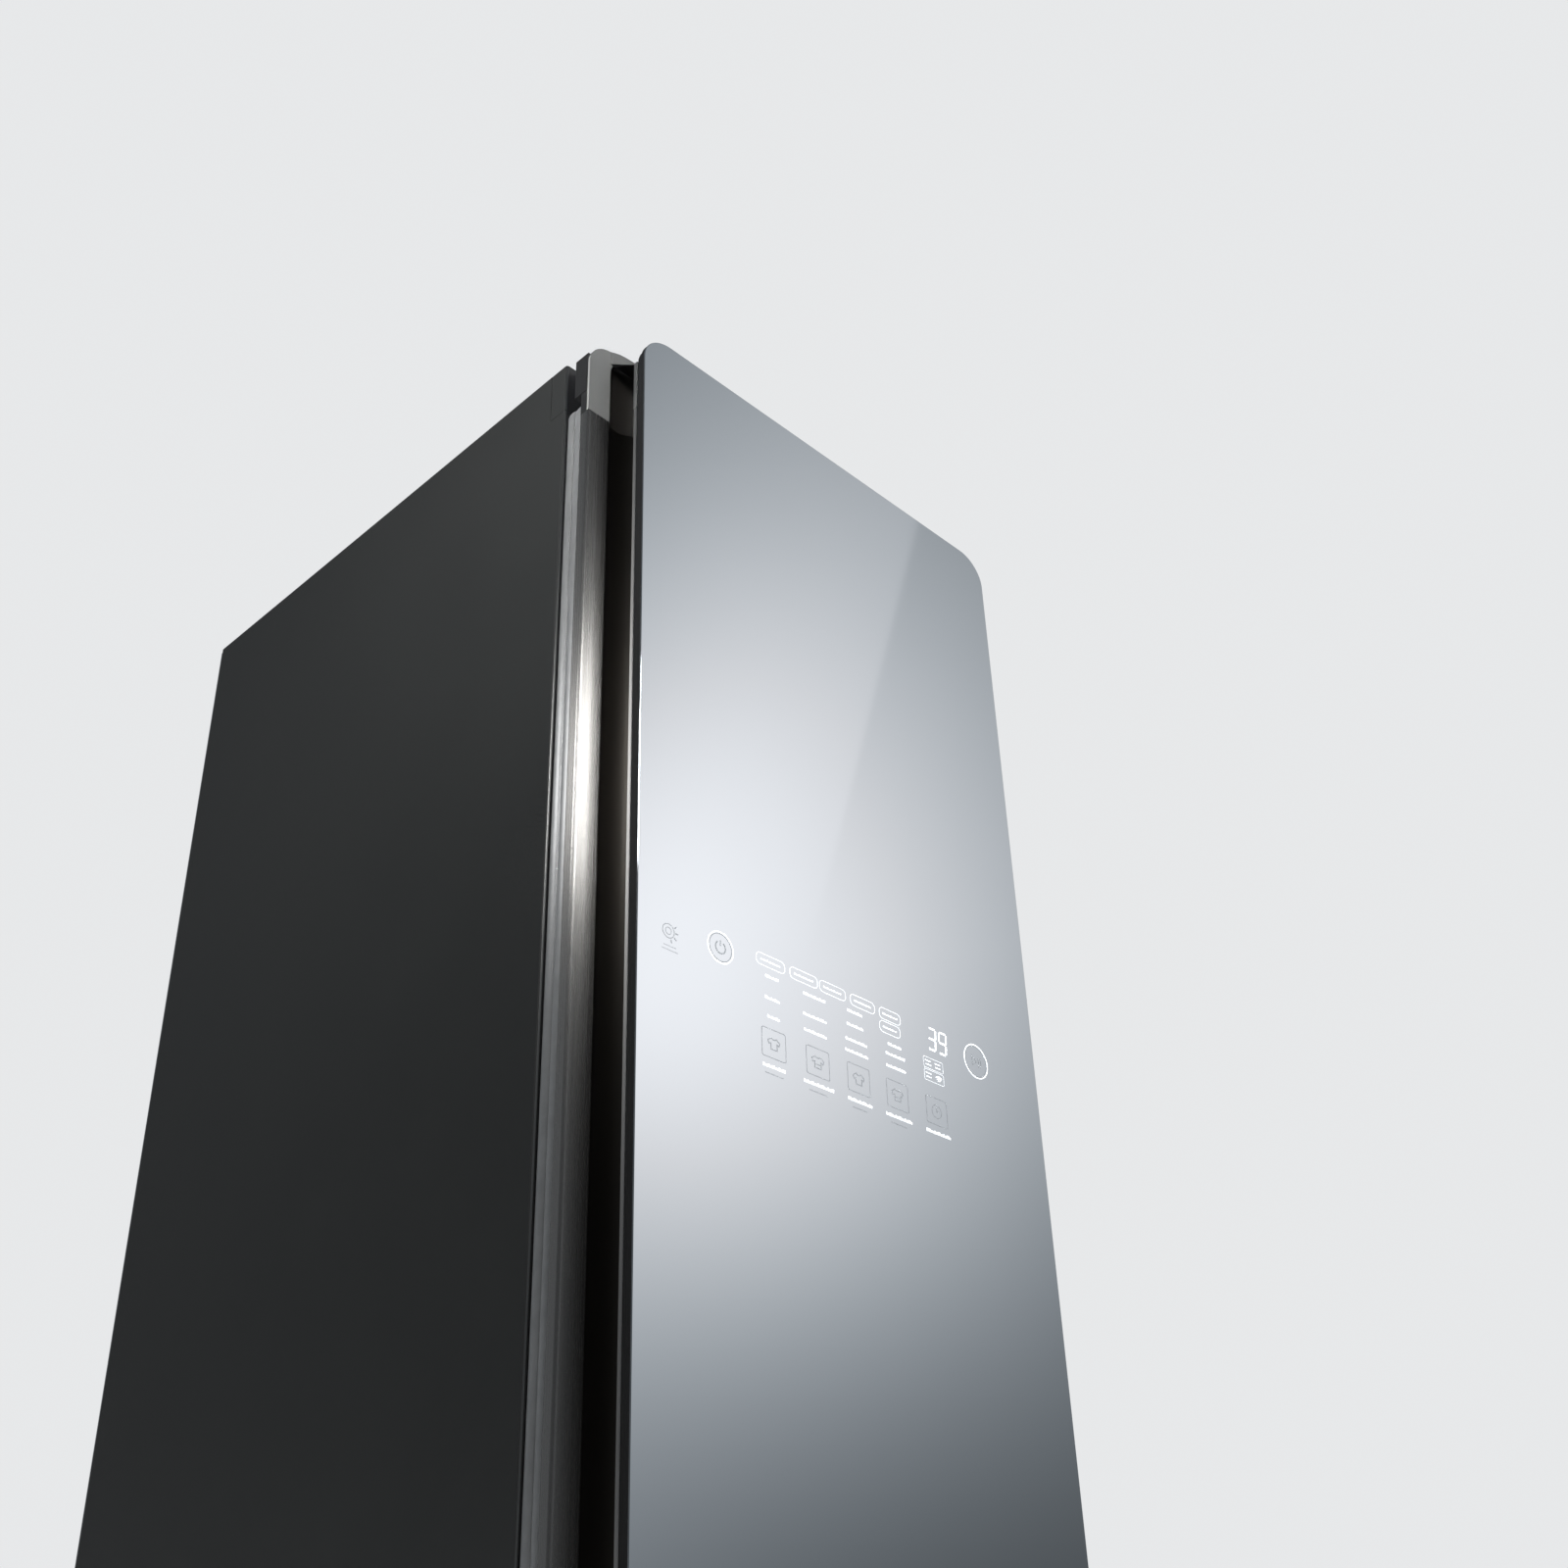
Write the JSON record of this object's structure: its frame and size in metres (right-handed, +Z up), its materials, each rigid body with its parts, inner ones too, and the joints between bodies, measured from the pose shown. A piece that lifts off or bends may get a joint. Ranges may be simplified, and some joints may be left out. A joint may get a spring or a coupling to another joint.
{
  "type": "clothes care steam cabinet",
  "caption": "Tall slim clothes care steam cabinet with a mirror glass door, full-height finger groove, shaking hanger bar, trouser press in the door and pull-out water tanks.",
  "frame": {"origin": "on the floor under the middle of the overall box", "axes": "+Z up, the mirror door faces -Y, +X to the right seen from the front"},
  "size_m": [0.445, 0.585, 1.85],
  "materials": {
    "graphite_sheet": "satin",
    "zinc_steel": "satin",
    "door_metal": "brushed",
    "fin_metal": "satin",
    "mirror_glass": "polished",
    "black_film": "gloss",
    "dark_plastic": "matte",
    "cap_plastic": "satin",
    "white_plastic": "satin",
    "grey_plastic": "matte",
    "seal_rubber": "matte",
    "hose_rubber": "matte",
    "smoked_plastic": "gloss",
    "lamp_plastic": "gloss",
    "circuit_board": "satin",
    "black_enamel": "gloss",
    "filter_mesh": "matte"
  },
  "bodies": {
    "cabinet": {"base_frame": "zinc_steel", "left_side_panel": "graphite_sheet", "right_side_panel": "graphite_sheet", "back_panel": "zinc_steel", "top_cover": "graphite_sheet", "top_front_trim": "graphite_sheet", "cable_gland": "dark_plastic", "front_frame": "grey_plastic", "chamber_liner": "white_plastic", "air_grille": "grey_plastic", "steam_nozzle": "white_plastic", "chamber_lamp": "lamp_plastic", "tank_bay": "grey_plastic", "exchanger_tray": "grey_plastic", "evaporator": "fin_metal", "condenser": "fin_metal", "blower_housing": "dark_plastic", "blower_motor": "zinc_steel", "rear_duct": "grey_plastic", "compressor": "black_enamel", "steam_generator": "fin_metal", "steam_pipe": "hose_rubber", "supply_pump": "dark_plastic", "drain_pump": "dark_plastic", "power_board_box": "grey_plastic", "drive_frame": "zinc_steel", "hanger_motor": "zinc_steel", "upper_hinge_bracket": "zinc_steel", "lower_hinge_bracket": "zinc_steel"},
    "door": {"door_glass": "mirror_glass", "glass_backing": "black_film", "handle_profile": "door_metal", "right_edge_profile": "door_metal", "door_core": "dark_plastic", "door_top_cap": "cap_plastic", "door_bottom_cap": "cap_plastic", "inner_top_trim": "dark_plastic", "inner_bottom_trim": "dark_plastic", "door_liner": "white_plastic", "door_seal": "seal_rubber", "display_board": "circuit_board", "press_board": "grey_plastic", "trouser_rail": "zinc_steel"},
    "press": {"press_plate": "grey_plastic"},
    "shelf_body": {"shelf": "grey_plastic"},
    "filter": {"lint_filter": "dark_plastic", "lint_screen": "filter_mesh"},
    "scent": {"scent_cartridge": "grey_plastic"},
    "supply": {"supply_tank": "smoked_plastic", "supply_tank_lid": "grey_plastic"},
    "drain": {"drain_tank": "smoked_plastic", "drain_tank_lid": "dark_plastic"},
    "wheel": {"blower_wheel": "dark_plastic"},
    "crank": {"crank_disc": "zinc_steel"},
    "hanger": {"hanger_carriage": "grey_plastic", "hanger_bar": "door_metal"},
    "foot_a": {"levelling_foot_front_left": "dark_plastic"},
    "foot_b": {"levelling_foot_front_right": "dark_plastic"},
    "foot_c": {"levelling_foot_rear_left": "dark_plastic"},
    "foot_d": {"levelling_foot_rear_right": "dark_plastic"}
  },
  "joints": [
    {"name": "door_hinge", "type": "hinge", "parent": "cabinet", "child": "door", "pos_m": [0.2145, -0.2645, 0.94], "axis": [0, 0, 1], "range_deg": [0, 115]},
    {"name": "press_hinge", "type": "hinge", "parent": "door", "child": "press", "pos_m": [0.131, -0.2235, 1.095], "axis": [0, 0, -1], "range_deg": [0, 95]},
    {"name": "shelf_lift", "type": "slide", "parent": "cabinet", "child": "shelf_body", "axis": [0, 0, 1], "range_m": [0, 0.025]},
    {"name": "filter_lift", "type": "slide", "parent": "cabinet", "child": "filter", "axis": [0, 0, 1], "range_m": [0, 0.12]},
    {"name": "scent_lift", "type": "slide", "parent": "cabinet", "child": "scent", "axis": [0, 0, 1], "range_m": [0, 0.06]},
    {"name": "supply_tank_slide", "type": "slide", "parent": "cabinet", "child": "supply", "axis": [0, -1, 0], "range_m": [0, 0.02]},
    {"name": "drain_tank_slide", "type": "slide", "parent": "cabinet", "child": "drain", "axis": [0, -1, 0], "range_m": [0, 0.02]},
    {"name": "blower_spin", "type": "hinge", "parent": "cabinet", "child": "wheel", "pos_m": [-0.02, 0.22, 0.14], "axis": [0, 1, 0], "continuous": true},
    {"name": "hanger_shake", "type": "slide", "parent": "cabinet", "child": "hanger", "axis": [1, 0, 0], "range_m": [-0.01, 0.01]},
    {"name": "crank_spin", "type": "hinge", "parent": "cabinet", "child": "crank", "pos_m": [0, 0, 1.79], "axis": [0, 0, 1], "range_deg": [-48, 48]},
    {"name": "foot_front_left_screw", "type": "slide", "parent": "cabinet", "child": "foot_a", "axis": [0, 0, -1], "range_m": [0, 0.012]},
    {"name": "foot_front_right_screw", "type": "slide", "parent": "cabinet", "child": "foot_b", "axis": [0, 0, -1], "range_m": [0, 0.012]},
    {"name": "foot_rear_left_screw", "type": "slide", "parent": "cabinet", "child": "foot_c", "axis": [0, 0, -1], "range_m": [0, 0.012]},
    {"name": "foot_rear_right_screw", "type": "slide", "parent": "cabinet", "child": "foot_d", "axis": [0, 0, -1], "range_m": [0, 0.012]}
  ],
  "couplings": [
    {"joint": "crank_spin", "follows": "hanger_shake", "rad_per_m": -83.33}
  ]
}
